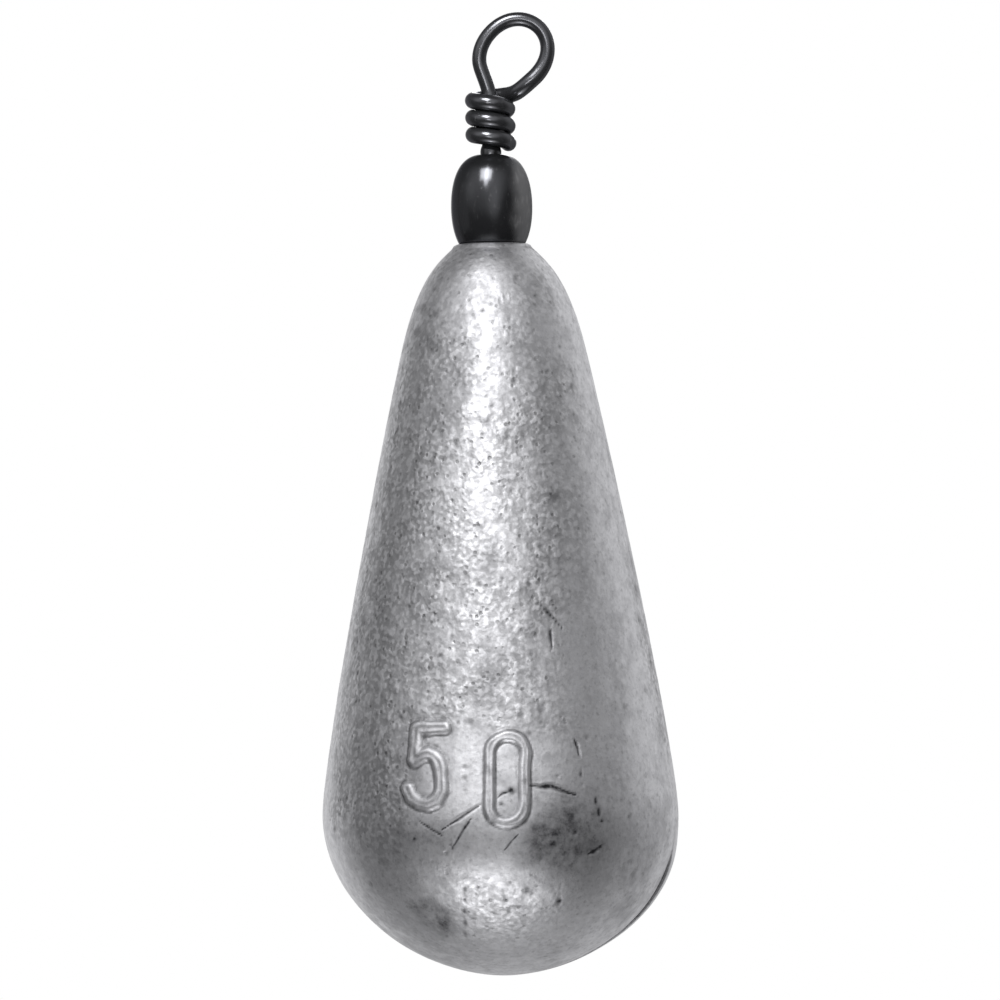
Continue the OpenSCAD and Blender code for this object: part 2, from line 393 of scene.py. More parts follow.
def weight_profile():
    """Radius and height of the plain weight from its lowest point to the lip."""
    w, s = bpy.context.scene.sinker_weight, bpy.context.scene.sinker_swivel
    lip_radius = barrel_radius(s.foot_depth - s.barrel_length / 2, s.foot_gap) + w.lip
    lip_slope = math.radians(50)
    base = np.zeros(2)
    belly = np.array([w.radius, w.belly])
    shoulder = np.array([w.shoulder_radius, w.height - w.shoulder_drop])
    lip = np.array([lip_radius, w.height])
    flank = shoulder[1] - belly[1]
    up = np.array([-math.sin(w.shoulder_slope), math.cos(w.shoulder_slope)])
    down = np.array([math.cos(lip_slope), -math.sin(lip_slope)])
    # Handles are shares of each stretch's own size, so other sizes keep the form
    return np.vstack([
        base,
        curve([base, [belly[0] * 0.43, 0], [belly[0], belly[1] * 0.38], belly], 300),
        curve([belly, belly + [0, flank * 0.124], shoulder - up * flank * 0.159, shoulder], 300),
        curve([shoulder, shoulder + up * w.shoulder_drop * 0.795, lip + down * w.shoulder_drop * 0.16, lip],
              200),
    ])


def cup_profile():
    """Radius and level, from the barrel's middle, of the cup that holds the barrel's foot."""
    s = bpy.context.scene.sinker_swivel
    lip_z = s.foot_depth - s.barrel_length / 2
    foot_z = -s.barrel_length / 2 - s.foot_gap
    levels = np.linspace(math.asin(lip_z / -foot_z), -math.pi / 2, 14)
    z = -foot_z * np.sin(levels)
    return barrel_radius(z, s.foot_gap), z


# Cast marks, in millimetres across as seen from the front and above the lowest point

# Levels between which the mesh is fine, and the radius of its lowest ring
FINE_LOW, FINE_HIGH = 5.2, 12.6
LOWEST_RING = 0.02
# How far the fine mesh reaches to either side of the figures and of a seam
FIGURES_SPREAD = math.radians(44)
SEAM_SPREAD = math.radians(3)
# A distance at which no mark is felt
OUT_OF_REACH = 9.0
# Cosine of the angle at which the front ends, and how sandy the smoothest lead is
FRONT_EDGE = 0.05
LEAST_GRAIN = 0.14
# Small pits all round, and the levels between which they lie
PIT_COUNT = 240
PITS_LOW, PITS_HIGH = 3, 33

# Middle lines of the figures, turned with the mould
FIVE_BAR = [(-0.78, 11.8), (-2.16, 11.8), (-2.26, 10.33)]
FIVE_BOWL = [(-2.22, 10.3), (-1.92, 10.5), (-1.57, 10.61), (-1.27, 10.51), (-1.06, 10.28), (-0.93, 9.91),
             (-0.87, 9.4), (-0.9, 8.86), (-1.13, 8.44), (-1.52, 8.27), (-1.98, 8.36), (-2.36, 8.62),
             (-2.54, 9.02)]
NOUGHT_MIDDLE = (2.16, 9.4)
NOUGHT_HALF = (0.78, 2.0)
# The nought's stroke is cut narrower than the five's by this factor
NOUGHT_NARROWER = 0.37 / 0.29

# Cracks on the front: middle line, width and depth
CRACKS = [
    ([(1.36, 9.1), (1.88, 9.03), (2.39, 9.06), (2.89, 8.84), (3.6, 8.58)], 0.09, 0.1),
    ([(3.46, 11.2), (3.6, 10.8), (3.7, 10.3)], 0.075, 0.06),
    ([(3.72, 9.95), (3.74, 9.4)], 0.06, 0.03),
    ([(4.3, 8.7), (4.46, 8.12), (4.72, 7.2)], 0.045, 0.03),
    ([(-0.9, 8.27), (-1.87, 7.65), (-2.75, 7.1)], 0.065, 0.07),
    ([(-3.8, 7.55), (-3.17, 7.11), (-2.65, 6.8)], 0.05, 0.03),
    ([(-1.36, 7.62), (-1.79, 7.01), (-2.25, 6.25)], 0.07, 0.05),
    ([(0.78, 6.84), (0.45, 6.5), (0.14, 6.14)], 0.055, 0.03),
    ([(4.7, 6.32), (4.38, 6.01), (4.0, 5.86)], 0.1, 0.07),
    ([(-0.15, 8.55), (0.1, 8.75), (0.4, 8.84)], 0.06, 0.04),
    ([(1.8, 17.6), (2.3, 17.1), (3.0, 16.3)], 0.07, 0.04),
    ([(2.4, 16.4), (2.5, 15.4)], 0.07, 0.04),
]
# Pits and stains on the front, the wide ones partly stains and partly painted shade: across, height,
# radius, depth share, darkness
SPOTS = [
    (2.75, 22.45, 0.32, 0.4, 0.5), (2.06, 20.2, 0.16, 0.6, 0.5), (2.46, 28.4, 0.09, 0.6, 0.6),
    (-0.38, 25.96, 0.2, 0.8, 0.3), (0.42, 25.26, 0.28, 0.6, 0.35), (1.35, 25.27, 0.18, 0.6, 0.45),
    (3.58, 27.7, 0.08, 0.5, 0.6), (-1.9, 25.1, 0.12, 0.9, 0.6), (-2.9, 24.5, 0.12, 0.8, 0.5),
    (1.17, 4.27, 0.14, 0.6, 0.75), (1.42, 4.12, 0.1, 0.5, 0.6), (2.64, 3.72, 0.15, 1.2, 0.95),
    (2.72, 4.4, 0.1, 0.6, 0.5), (0.15, 3.87, 0.12, 0.5, 0.5), (0.32, 3.2, 0.11, 0.5, 0.45),
    (-3.2, 3.0, 0.75, 0, 0.42), (-2.5, 2.6, 0.5, 0, 0.4), (-3.9, 3.5, 0.4, 0.1, 0.3),
    (-1.72, 4.36, 0.08, 0.6, 0.5), (-1.73, 3.84, 0.08, 0.6, 0.5), (-1.74, 3.27, 0.1, 0.7, 0.7),
    (-1.75, 2.69, 0.1, 0.7, 0.6), (-1.76, 2.16, 0.09, 0.6, 0.5), (0.5, 8.91, 0.09, 0.8, 0.9),
    (0.03, 8.27, 0.1, 0.9, 0.7), (-1.39, 12.01, 0.16, 0.5, 0.5), (1.93, 11.98, 0.13, 0.6, 0.5),
    (1.41, 11.51, 0.12, 0.5, 0.4), (-2.93, 10.95, 0.09, 0.5, 0.6), (-1.9, 12.03, 0.08, 0.5, 0.4),
    (-1.65, 9.95, 0.14, 0.7, 0.3), (-4.6, 12.28, 0.12, 0.5, 0.5), (-2.35, 6.4, 0.1, 1.2, 0.5),
    (-2.55, 6.05, 0.09, 1.2, 0.3), (-3.3, 31.5, 0.2, 1, 0.4), (-2.75, 31.2, 0.18, 1, 0.5),
    (-3.5, 30.4, 0.16, 1, 0.4), (2.1, 32.6, 0.3, 0.3, 0.3), (-2.9, 29.8, 0.4, 0.3, 0.4),
    (3.1, 7.3, 1.3, 0, 0.4), (4.3, 6.4, 1.2, 0, 0.3), (2.2, 6.6, 1.0, 0, 0.38),
    (-3.6, 7.0, 1.4, 0, 0.24), (-2.2, 6.2, 1.0, 0, 0.16), (-5.4, 9.6, 1.7, 0, 0.2),
    (3.7, 8.5, 1.2, 0, 0.15), (2.6, 5.4, 0.9, 0, 0.26), (1.2, 6.9, 0.7, 0, 0.2),
    (0.9, 5.9, 0.6, 0, 0.16), (-4.6, 6.6, 0.9, 0, 0.24), (-5.2, 5.2, 0.8, 0, 0.24),
    (-4.4, 4.2, 0.7, 0, 0.2),
]


def reach_to(line, across, height):
    """Distance of each point from a line of straight stretches, and how far along it lies."""
    p = np.stack([across, height], axis=1)
    best, share_along = np.full(len(p), np.inf), np.zeros(len(p))
    stretches = len(line) - 1
    for i, (start, end) in enumerate(zip(line[:-1], line[1:])):
        start, run = np.array(start), np.array(end) - np.array(start)
        t = np.clip((p - start) @ run / (run @ run), 0, 1)
        d = np.linalg.norm(p - start - t[:, None] * run, axis=1)
        share_along = np.where(d < best, (i + t) / stretches, share_along)
        best = np.minimum(best, d)
    return best, share_along


def figure_reach(across, height):
    """Distance from the middle line of the raised 5 and 0."""
    five = np.minimum(reach_to(FIVE_BAR, across, height)[0], reach_to(FIVE_BOWL, across, height)[0])
    x, y = np.abs(across - NOUGHT_MIDDLE[0]), np.abs(height - NOUGHT_MIDDLE[1])
    straight = NOUGHT_HALF[1] - NOUGHT_HALF[0]
    nought = np.abs(np.hypot(x, np.maximum(y - straight, 0)) - NOUGHT_HALF[0])
    return np.minimum(five, nought * NOUGHT_NARROWER)


def column_angles():
    """Angles of the mesh's columns about the axis, closer at the figures and the seams."""
    w = bpy.context.scene.sinker_weight
    turn = w.mould_turn
    seams = turn + math.pi / 2, turn + 3 * math.pi / 2

    def column_step(a):
        fine, coarse = w.fine_step / w.radius, w.coarse_step / w.radius
        near_seam = np.minimum(np.abs(a - seams[0]), np.abs(a - seams[1]))
        here = np.where(np.abs(a - turn) < FIGURES_SPREAD, fine, coarse)
        return np.where(near_seam < SEAM_SPREAD, fine * 0.6, here)

    return spaced(turn - math.radians(60), turn + math.radians(300), column_step)[:-1]


class Skin:
    """The lead's outside, point by point, in rings of columns with the lowest ring first."""

    def __init__(self):
        w = self.sizes = bpy.context.scene.sinker_weight
        profile = weight_profile()
        along = np.concatenate([[0], np.cumsum(np.linalg.norm(np.diff(profile, axis=0), axis=1))])

        def ring_step(s):
            h = np.interp(s, along, profile[:, 1])
            return np.where((h > FINE_LOW * MM) & (h < FINE_HIGH * MM), w.fine_step, w.coarse_step)

        places = np.concatenate([[LOWEST_RING * MM], spaced(0, along[-1], ring_step)[1:]])
        self.ring_r = np.interp(places, along, profile[:, 0])
        self.ring_h = np.interp(places, along, profile[:, 1])
        slope_r, slope_h = np.gradient(self.ring_r, places), np.gradient(self.ring_h, places)
        length = np.hypot(slope_r, slope_h)

        # Angle, radius, height and outward heading of each point
        columns = column_angles()
        self.shape = len(places), len(columns)
        self.a = np.tile(columns, len(places))
        rings = (self.ring_r, self.ring_h, slope_h / length, -slope_r / length)
        self.r, self.h, self.out_r, self.out_h = (np.repeat(level, len(columns)) for level in rings)

        # Place round the axis, across and up in millimetres, turn from the figures, and front or not
        self.flat = np.stack([self.r * np.sin(self.a), -self.r * np.cos(self.a), self.h], axis=1)
        self.across, self.up = self.r * np.sin(self.a) / MM, self.h / MM
        self.turned = self.a - w.mould_turn
        self.front = np.cos(self.a) > FRONT_EDGE

        # What the cast marks change: how far each point is pushed out, how much stain and painted shade it
        # carries, and how sandy it is
        self.push, self.stain, self.grain = (np.zeros(len(self.a)) for _ in range(3))

    def noise(self, width, seed):
        """Smooth lumps about width millimetres across, from -1 to 1."""
        return value_noise(self.flat, width * MM, seed)


def lay_sand(skin):
    """The sandy skin covers the middle and left of the front, and patches elsewhere."""
    across, up = skin.across, skin.up
    patch = 0.5 + 0.5 * skin.noise(7, 11) + 0.3 * skin.noise(2.2, 12)
    ragged = 1.1 * skin.noise(3, 13)
    lowest = 9.8 - 4.5 * smooth(-3.2, -4.6, across + 0.5 * ragged)
    sandy_front = (1 - smooth(1.6, 5.0, across + ragged)) * smooth(lowest, lowest + 3, up + ragged)
    sandy_front *= 1 - 0.5 * smooth(28, 32, up + 2 * ragged)
    base_patch = bell(across + 0.6, 3.2) * bell(up - 3.6, 1.8) * (0.7 + 0.5 * ragged)
    behind = smooth(math.radians(60), math.radians(85), np.abs(skin.turned - 0.2))
    grain = np.maximum(sandy_front, base_patch) * (1 - behind) + patch * behind * smooth(8, 12, up)
    skin.grain = np.maximum(np.clip(grain, 0, 1), LEAST_GRAIN)


def make_uneven(skin):
    """Waviness of the cast skin, less of it at the lowest point."""
    w = skin.sizes
    skin.push = w.unevenness * (0.6 * skin.noise(4.5, 21) + 0.3 * skin.noise(1.5, 22))
    skin.push += 0.012 * MM * skin.grain * skin.noise(0.42, 23)
    skin.push *= smooth(0, 1.5, skin.up) * 0.8 + 0.2


def raise_figures(skin):
    """Raised figures with a shallow groove along the stroke, and painted shade at its foot and in the
    groove.
    """
    w = skin.sizes
    width = w.stroke / MM
    across = skin.r * np.sin(skin.turned) / MM
    near = np.abs(skin.turned) < math.radians(60)
    reach = np.where(near, figure_reach(across, skin.up), OUT_OF_REACH)
    reach = np.maximum(reach + 0.045 * skin.noise(0.5, 32), 0)
    body = np.clip(1 - (reach / width) ** 2, 0, 1) ** 0.8 * (1 + 0.3 * skin.noise(1.2, 33))
    groove, foot = bell(reach, 0.07), bell(reach - width, 0.06)
    worn = 0.5 + 0.5 * skin.noise(0.9, 31)
    skin.push += w.stroke_raise * body - w.stroke_groove * groove * body - 0.02 * MM * foot
    # The stain here is painted shade at the stroke's foot and in its groove; worn only varies how much
    skin.stain += (0.25 + 0.4 * worn) * foot + 0.45 * groove * body * worn
    skin.grain *= 1 - 0.7 * body


def leave_seams(skin):
    """Seam and step where the two mould halves met, widest at the base, with painted shade along the seam
    line.
    """
    w = skin.sizes
    low = 1 - smooth(4.2, 7.0, skin.up)
    ragged_edge = 0.75 + 0.45 * skin.noise(1.3, 41)
    for side in (1, -1):
        seam = w.mould_turn + side * math.pi / 2
        off = (np.mod(skin.a - seam + math.pi, 2 * math.pi) - math.pi) * skin.r / MM
        line = bell(off, 0.085) * (0.25 + 0.75 * low)
        skin.push += w.seam_raise * ragged_edge * bell(off, w.seam_width / MM) - 0.07 * MM * line * low
        # Painted shade along the seam line, strongest at the base
        skin.stain += (0.8 * low + 0.3 * smooth(0.6, 1.1, ragged_edge)) * line
    toward_back = -np.cos(skin.turned)
    rear = np.where(toward_back > 0, smooth(0, 0.12, toward_back * skin.r / MM), 0)
    skin.push += w.seam_step * rear * np.sin(skin.turned) * low * skin.out_r ** 2
    skin.push += w.base_shift * skin.out_r * np.sin(skin.a) * (1 - smooth(2.0, 8.0, skin.up))


def cut_cracks(skin):
    """Cracks on the front, each with a low burr beside it."""
    ragged = 0.85 + 0.45 * skin.noise(0.35, 51)
    for line, half, depth in CRACKS:
        d, t = reach_to(line, skin.across, skin.up)
        width = half * (0.3 + 0.8 * np.sin(math.pi * t)) * ragged
        cut = np.where(skin.front, bell(d, width), 0)
        burr = np.where(skin.front, bell(d - 2 * width, width), 0)
        skin.push -= MM * depth * (cut - 0.12 * burr)
        skin.stain += 0.95 * cut


def press_spots(skin):
    """Pits and stains on the front; the wide ones are blotchy, and partly painted shade."""
    w = skin.sizes
    rugged, blotch = skin.noise(0.4, 52), skin.noise(0.3, 53)
    for across, level, radius, depth, dark in SPOTS:
        wide = min(1, radius / 0.5) * blotch
        d = np.hypot(skin.across - across, skin.up - level) / radius + 0.3 * rugged + 0.25 * wide
        d = np.where(skin.front, np.maximum(d, 0), OUT_OF_REACH)
        skin.push -= w.pit_depth * depth * (bell(d) - 0.35 * bell(d - 1.3, 0.3))
        # A wide spot's darkness is partly painted shade on the lower front
        skin.stain += dark * (1 + 0.5 * wide) * np.exp(-0.9 * d ** 2)


def smudge_front(skin):
    """Smudges round and below the figures."""
    smudge = np.clip(skin.noise(0.55, 71) + 0.4 * skin.noise(0.25, 72) - 0.05, 0, 1)
    lower_front = bell(skin.across - 0.6, 4.2) * bell(skin.up - 8.2, 3.4)
    skin.stain += np.where(skin.front, 0.3 * smudge * lower_front, 0)


def scatter_pits(skin):
    """Small pits scattered all round."""
    w = skin.sizes
    rng = np.random.default_rng(w.seed)
    for _ in range(PIT_COUNT):
        at, level = rng.uniform(0, 2 * math.pi), rng.uniform(PITS_LOW, PITS_HIGH)
        radius, dark = rng.uniform(0.06, 0.16), rng.uniform(0.1, 0.6)
        ring_r = np.interp(level * MM, skin.ring_h, skin.ring_r)
        centre = np.array([ring_r * math.sin(at), -ring_r * math.cos(at), level * MM])
        near = np.abs(skin.up - level) < 4 * radius
        d = np.linalg.norm(skin.flat[near] - centre, axis=1) / (radius * MM)
        skin.push[near] -= w.pit_depth * 0.7 * (bell(d) - 0.3 * bell(d - 1.4, 0.3))
        skin.stain[near] += dark * bell(d)


def raise_lip(skin):
    """Raised bright edge round the barrel's foot, with painted shadow in a thin line below it; the lip
    itself stays where it is.
    """
    w = skin.sizes
    below = w.height / MM - skin.up
    uneven = np.clip(1 + 1.1 * skin.noise(0.9, 61), 0.1, 2)
    skin.push += w.lip_bead * bell(below - 0.08, 0.06) * uneven
    # Painted shadow in a thin broken line below the bead
    skin.stain += 0.45 * bell(below - 0.22, 0.05) * np.clip(uneven - 0.7, 0, 1)
    skin.push *= smooth(0, 0.04, below)


# The four pieces

def build_lead():
    """The lead with its cast marks outside and the cup for the barrel's foot at the top."""
    w, s = bpy.context.scene.sinker_weight, bpy.context.scene.sinker_swivel
    skin = Skin()
    for cast_mark in (lay_sand, make_uneven, raise_figures, leave_seams, cut_cracks, press_spots,
                      smudge_front, scatter_pits, raise_lip):
        cast_mark(skin)
    rings, sides = skin.shape
    lip_z = MIDDLE_Z + s.foot_depth - s.barrel_length / 2
    lowest_z = lip_z - w.height
    r = skin.r + skin.push * skin.out_r
    z = skin.h + skin.push * skin.out_h + lowest_z
    points = np.stack([r * np.sin(skin.a) + AXIS_X, -r * np.cos(skin.a), z], axis=1)

    last = points[-sides:, :2] - [AXIS_X, 0]
    heading = last / np.linalg.norm(last, axis=1)[:, None]
    cup_r, cup_z = cup_profile()
    cup = [np.column_stack([heading * r + [AXIS_X, 0], np.full(sides, z + MIDDLE_Z)])
           for r, z in zip(cup_r[:-1], cup_z[:-1])]
    ends = np.array([[AXIS_X, 0, lowest_z], [AXIS_X, 0, cup_z[-1] + MIDDLE_Z]])
    everything = np.vstack([points, *cup, ends])
    total = rings + len(cup)
    faces = ring_faces(total, sides)
    faces += fan(total * sides, 0, sides, turned_over=True)
    faces += fan(total * sides + 1, (total - 1) * sides, sides)

    piece = mesh_piece("cast_lead", everything, faces, "weight", "lead_weight")
    for name, values in (("grain", skin.grain), ("stain", np.clip(skin.stain, 0, 1))):
        mark = piece.data.attributes.new(name, "FLOAT", "POINT")
        filled = np.concatenate([values, np.full(len(everything) - len(values), 0.2)])
        mark.data.foreach_set("value", filled.astype(np.float32))
    return piece


def tube(centres, widths, sides):
    """Points and faces of a closed tube along centres, with its own width at each one."""
    rings = len(centres)
    first = np.array([0.0, 1.0, 0.0])
    points = []
    for i in range(rings):
        heading = unit(centres[min(i + 1, rings - 1)] - centres[max(i - 1, 0)])
        first = unit(first - (first @ heading) * heading)
        second = np.cross(heading, first)
        for j in range(sides):
            a = 2 * math.pi * j / sides
            points.append(centres[i] + widths[i] * (math.cos(a) * first + math.sin(a) * second))
    faces = ring_faces(rings, sides)
    faces += fan(len(points), 0, sides, turned_over=True)
    faces += fan(len(points) + 1, (rings - 1) * sides, sides)
    points += [centres[0], centres[-1]]
    return np.array(points), faces


def wire_route():
    """Middle line and widths of one headed wire, round the barrel's middle."""
    s = bpy.context.scene.sinker_swivel
    half = s.barrel_length / 2
    # The turns are wound tight, as far out as turns of the eye's own wire would reach
    slack = 0.02 * MM
    turn_r = s.shank + slack + 2 * s.wire - s.turn_wire
    core = turn_r - s.turn_wire - slack
    first_z = half + s.neck + s.wire + s.turns * s.pitch
    eye_x, eye_z = -AXIS_X, first_z + s.eye_rise
    # The bow is longer toward its upper right and lower left than across them
    lean, lean_at = 0.08, math.radians(48)
    bow_start, bow_end = math.radians(190), math.radians(-52)

    def reach(a):
        return s.bow * (1 + lean * math.cos(2 * (a - lean_at)))

    def bow(a):
        return np.array([eye_x + reach(a) * math.cos(a), 0, eye_z + reach(a) * math.sin(a)])

    def bow_heading(a):
        growth = -2 * lean * s.bow * math.sin(2 * (a - lean_at))
        return unit(np.array([reach(a) * math.sin(a) - growth * math.cos(a), 0,
                              -reach(a) * math.cos(a) - growth * math.sin(a)]))

    def turn(t):
        a = math.pi / 2 + 2 * math.pi * t
        return np.array([turn_r * math.cos(a), turn_r * math.sin(a), first_z - s.pitch * t])

    def turn_heading(t):
        a = math.pi / 2 + 2 * math.pi * t
        return unit(np.array([-turn_r * math.sin(a), turn_r * math.cos(a), -s.pitch / (2 * math.pi)]))

    # Head and shank, straight up the axis; above the barrel the shank thins to the turns' core
    taper_low, taper_high = first_z - 0.3 * MM, first_z + 0.3 * MM
    cone_top = half - s.barrel_wall - s.end_play
    cone_foot = cone_top - (s.head - s.shank) * 0.62
    back = cone_foot - s.head_height
    chamfer = s.head_height * 0.3
    straight = [(back, s.head - chamfer), (back + chamfer, s.head), (cone_foot, s.head),
                (cone_top, s.shank)]
    for z in np.linspace(cone_top, taper_low, 24)[1:]:
        thinned = smooth(half + 0.15 * MM, half + 0.5 * MM, z)
        straight.append((z, s.shank + (core - s.shank) * thinned))
    centres = [np.array([0, 0, z]) for z, _ in straight]
    widths = [r for _, r in straight]

    # Up one leg, round the bow and down into the turns
    foot, start, end = np.array([0, 0, taper_low]), bow(bow_start), bow(bow_end)
    leg = curve([foot, foot + [0, 0, s.eye_rise * 0.4], start - bow_heading(bow_start) * s.eye_rise * 0.26,
                 start], 26)
    for p in leg:
        centres.append(p)
        widths.append(core + (s.wire - core) * smooth(taper_low, taper_high, p[2]))
    for a in np.linspace(bow_start, bow_end, 73)[1:]:
        centres.append(bow(a))
        widths.append(s.wire + (s.turn_wire - s.wire) * smooth(math.radians(20), bow_end, a))
    centres += list(curve([end, end + bow_heading(bow_end) * s.eye_rise * 0.7,
                           turn(0) - turn_heading(0) * s.eye_rise * 0.62, turn(0)], 26))

    # The turns, and the cut end with its rounded edge
    steps = int(s.turns * 60)
    centres += [turn(s.turns * i / steps) for i in range(1, steps + 1)]
    heading = turn_heading(s.turns)
    tail = centres[-1] + heading * 0.25 * MM
    centres.append(tail)
    widths += [s.turn_wire] * (len(centres) - len(widths))
    for a in np.radians([18, 36, 52, 66, 78, 86]):
        centres.append(tail + heading * s.turn_wire * 0.7 * math.sin(a))
        widths.append(s.turn_wire * math.cos(a))
    return np.array(centres), widths


def build_wire(name, body, node, upside_down):
    """A headed wire with its eye, above the barrel or turned over below it."""
    w = bpy.context.scene.sinker_weight
    centres, widths = wire_route()
    points, faces = tube(centres, widths, 24)
    if upside_down:
        points = points * [1, -1, -1]
        c, s = math.cos(w.mould_turn), math.sin(w.mould_turn)
        points = points @ np.array([[c, s, 0], [-s, c, 0], [0, 0, 1]])
    return mesh_piece(name, points + [AXIS_X, 0, MIDDLE_Z], faces, body, node)


def build_barrel():
    """The hollow barrel: outside, rolled edge of a hole, inside, and the other hole's edge."""
    s = bpy.context.scene.sinker_swivel
    half, wall, sides = s.barrel_length / 2, s.barrel_wall, 96
    # Both outlines end where they close in to the hole's rolled edge
    edge = s.hole + 0.07 * MM
    outer_z = half * np.sin(np.radians(np.linspace(-90, 90, 121)))
    inner_z = (half - wall) * np.sin(np.radians(np.linspace(88, -88, 41)))
    outer = np.stack([barrel_radius(outer_z, 0), outer_z], axis=1)
    inner = np.stack([barrel_radius(inner_z, -wall), inner_z], axis=1)
    outer, inner = outer[outer[:, 0] > edge], inner[inner[:, 0] > edge]
    outer_top, inner_top = outer[-1, 1], inner[0, 1]
    rim_top = [(s.hole + 0.025 * MM, outer_top - 0.012 * MM), (s.hole, outer_top - 0.05 * MM),
               (s.hole, inner_top + 0.05 * MM), (s.hole + 0.02 * MM, inner_top + 0.01 * MM)]
    rim_bottom = [(r, -z) for r, z in reversed(rim_top)]
    profile = np.vstack([outer, rim_top, inner, rim_bottom])
    angles = 2 * math.pi * np.arange(sides) / sides
    points = [(AXIS_X + r * math.cos(a), r * math.sin(a), z + MIDDLE_Z) for r, z in profile for a in angles]
    faces = ring_faces(len(profile), sides)
    last = (len(profile) - 1) * sides
    faces += [[last + j, last + (j + 1) % sides, (j + 1) % sides, j] for j in range(sides)]
    return mesh_piece("pressed_barrel", points, faces, "barrel", "swivel_barrel")


# Finishes

def lead_finish():
    """Cast lead: bright where clean, dull in patches, sandy where the mark grain says so."""
    p = bpy.context.scene.sinker_lead
    material, f = new_material("cast lead")
    grain, stain = f.mark("grain"), f.mark("stain")
    place = f.place()
    moved = f.wander(place, 2.0 * MM / p.grain, 0.35 * p.grain / MM)
    sand = f.cloud(place, MM / p.grain, 0.7, 0.5)
    pebble = f.cells(moved, MM / p.grain, "SMOOTH_F1")
    pebbles = 1 - pebble * pebble * 1.6
    mottle = f.cloud(place, 1.5, 5.0, 0.7)
    patchy = f.cloud(place, 0.7, 3.0, 0.65).between(0.36, 0.6)
    broad = f.cloud(f.place((1, 1, 0.45)), 0.28, 3.0, 0.55)
    drag = f.cloud(f.place((1, 1, 0.1)), 2.6, 3.0, 0.6)
    dull = (broad + 0.35 * mottle).between(0.6, 0.86)
    smear = (mottle + 0.4 * drag).between(0.58, 0.85)
    clean = f.mix(dull * (0.2 + 0.35 * grain), p.bright, p.dull)
    clean = f.mix(smear * (0.22 + 0.25 * grain), clean, p.dull)
    # The hollows of the sandy skin and some small pits, which are some cells of a mesh, are darkened partly
    # as dirt and partly as painted shade
    sandy = (0.1 + 0.9 * grain) * (0.5 + 0.5 * patchy)
    hollow_shade = 1 - (sand + 0.5 * pebbles).between(0.78, 1.0)
    pit = 1 - f.cells(moved, 0.8 * MM / p.grain).between(0.14, 0.42)
    chosen = f.cells(moved, 0.8 * MM / p.grain, out="Color").between(0.5, 0.75)
    dirt_and_shade = [0.35 * c for c in p.dull]
    clean = f.mix(sandy * hollow_shade * 0.45, clean, dirt_and_shade)
    clean = f.mix(pit * chosen * (0.08 + 0.6 * sandy), clean, dirt_and_shade)
    # Fine dirt all over, and the stains and painted shade of the stain mark, patchy at the scale of the
    # grain
    flecks = f.cloud(place, 4.0, 4.0, 0.75)
    clean = f.mix(flecks.between(0.5, 0.74) * (0.34 - 0.24 * sandy), clean, dirt_and_shade)
    colour = f.mix(stain * (0.8 * mottle + 1.4 * flecks - 0.1), clean, p.stain)
    rough = p.roughness + (p.dull_roughness - p.roughness) * dull + 0.16 * (mottle - 0.5) + 0.2 * stain
    lumps = sandy * (0.6 * sand + 0.4 * pebbles - 0.4 * pit * chosen) + 0.05 * drag + 0.25 * mottle
    lumps = lumps + (0.3 - 0.2 * sandy) * flecks
    f.close({"Base Color": colour, "Metallic": 1.0, "Roughness": rough,
             "Normal": f.bump(lumps, 1.0, p.grain_depth)})
    return material


def plating_finish(name, black, roughness, wave, depth, sheen_side=0.0):
    """Black nickel: glossy and a little worn, with a painted sheen that lightens one side, and wave ripples
    to a millimetre.
    """
    p = bpy.context.scene.sinker_plating
    material, f = new_material(name)
    place = f.place()
    ripple = f.cloud(place, wave, 2.0, 0.4)
    nicks = f.cells(place, 4.0)
    chosen = f.cells(place, 4.0, out="Color").between(0.55, 0.75)
    scuff = f.cloud(f.place((1, 1, 0.3)), 6.0, 3.0, 0.6)
    across = f.node("ShaderNodeSeparateXYZ", None, {0: place}, out="X")
    # Painted sheen: the plating on the barrel's right side is made lighter and rougher by its place
    painted_sheen = sheen_side * (across + 0.5 * (ripple - 0.5)).between(AXIS_X / MM + 0.75, AXIS_X / MM + 1.35)
    wear = (scuff + 0.12 * painted_sheen).between(0.6, 0.8)
    specks = chosen * (1 - nicks.between(0.05, 0.13))
    colour = f.mix(0.25 * wear + 0.5 * painted_sheen, black, p.worn)
    colour = f.mix(0.25 * specks, colour, p.worn)
    rough = roughness + 0.12 * wear + 0.3 * painted_sheen + 0.05 * (ripple - 0.5)
    lumps = depth * ripple + 0.1 * scuff - 0.3 * specks
    f.close({"Base Color": colour, "Metallic": p.mirror, "Roughness": rough,
             "Normal": f.bump(lumps, 0.5, 0.03 * MM), "Specular Tint": (*p.edge, 1.0)})
    return material


def floor_finish():
    s = bpy.context.scene.sinker_studio
    material, f = new_material("pale floor")
    paper = f.cloud(f.place(), 0.05, 3.0, 0.5)
    colour = f.mix(paper, [0.98 * c for c in s.floor], s.floor)
    f.close({"Base Color": colour, "Roughness": 0.9})
    return material


# Floor, light and camera

# Soft lights and shades round the part: azimuth from the front to the right, elevation, half
# width in degrees, brightness
SOFT_LIGHTS = [
    (-12, 38, 35, 0.26), (6, 6, 13, 0.8), (18, 17, 14, 0.45), (28, 38, 20, 0.5), (-60, 32, 22, 0.42),
    (-20, 90, 28, -1.35), (-20, -61, 16, 1.95), (4, -61, 12, 1.15), (-8, -76, 20, 0.25),
    (-150, -6, 28, 0.6), (60, -68, 22, -0.4), (125, 52, 26, 0.3), (-64, 16, 12, 0.5),
    (158, 30, 34, 0.2), (95, 20, 34, 0.16), (-78, -8, 32, -0.78), (-118, -56, 28, -0.5),
    (47, -12, 37, -0.95), (-125, 34, 26, -0.36), (72, 40, 20, -0.2), (-30, -22, 16, -0.65),
    (-10, -22, 12, -0.6),
]
# Brightness of the studio's air between them, and the least that a shade leaves
AIR_LEVEL, AIR_LEAST = 0.58, 0.04

WIRES = ("bent_line_eye", "bent_anchor_eye")
BLACK_PIECES = (*WIRES, "pressed_barrel")
